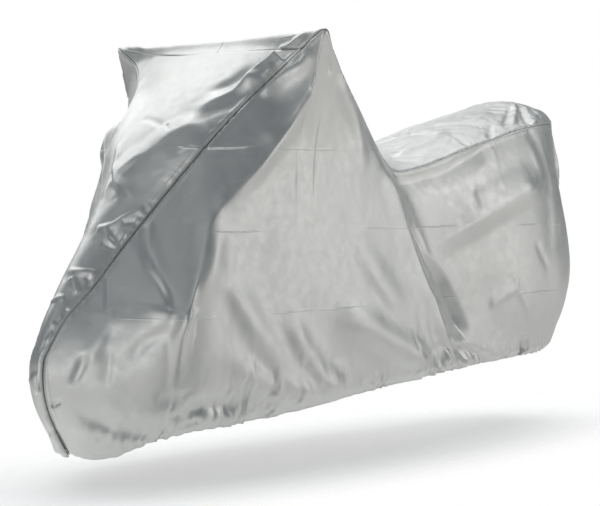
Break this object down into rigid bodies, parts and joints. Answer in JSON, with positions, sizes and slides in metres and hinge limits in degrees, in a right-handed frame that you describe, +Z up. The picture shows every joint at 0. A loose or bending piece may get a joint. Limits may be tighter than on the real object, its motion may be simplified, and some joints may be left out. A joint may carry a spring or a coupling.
{
  "type": "fitted scooter cover",
  "caption": "Fitted motorcycle or scooter cover of silver-coated polyester cloth, in its draped shape, hollow and open below, with a gathered hem.",
  "frame": {"origin": "inner face of the cloth in the middle of the ridge over the handlebar, which holds the cover up", "axes": "+X to the tail, +Y to the right side of the scooter, +Z up; the nose points towards -X"},
  "size_m": [1.9642, 0.7426, 0.9897],
  "materials": {
    "side_cloth": "silver-coated polyester taffeta, satin sheen",
    "front_cloth": "silver-coated polyester taffeta, crisp and creased, satin sheen",
    "top_cloth": "silver-coated polyester taffeta, satin sheen"
  },
  "bodies": {
    "root": {"side_left": "side_cloth", "side_right": "side_cloth", "front_panel": "front_cloth", "top_panel": "top_cloth"}
  },
  "joints": []
}
